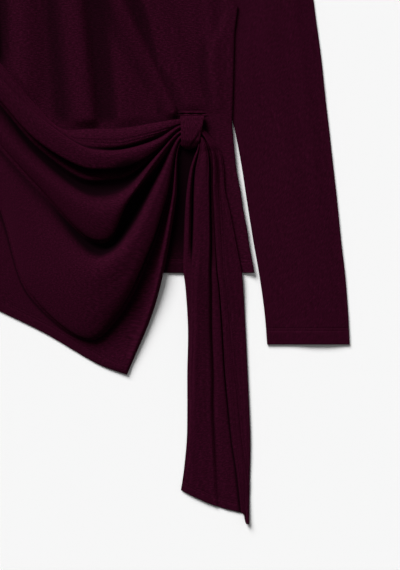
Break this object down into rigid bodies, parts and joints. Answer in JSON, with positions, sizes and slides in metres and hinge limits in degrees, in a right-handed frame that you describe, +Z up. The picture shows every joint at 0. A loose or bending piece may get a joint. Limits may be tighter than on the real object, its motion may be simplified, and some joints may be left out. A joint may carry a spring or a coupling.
{
  "type": "long-sleeved draped jersey top",
  "caption": "Long-sleeved jersey top laid flat, with a draped overlay gathered through a waist loop and a hanging tie.",
  "frame": {"origin": "on the surface the garment lies on, under the middle of its bounding box", "axes": "+X to the wearer's left, +Y toward the neck, +Z up from the surface, through back and front"},
  "size_m": [0.7418, 0.944, 0.0342],
  "materials": {
    "jersey": "matte fine crepe jersey, soft sheen on the folds"
  },
  "bodies": {
    "root": {"back": "jersey", "front": "jersey", "sleeve_left": "jersey", "sleeve_right": "jersey", "drape_panel": "jersey", "waist_tie": "jersey", "waist_loop": "jersey"}
  },
  "joints": []
}
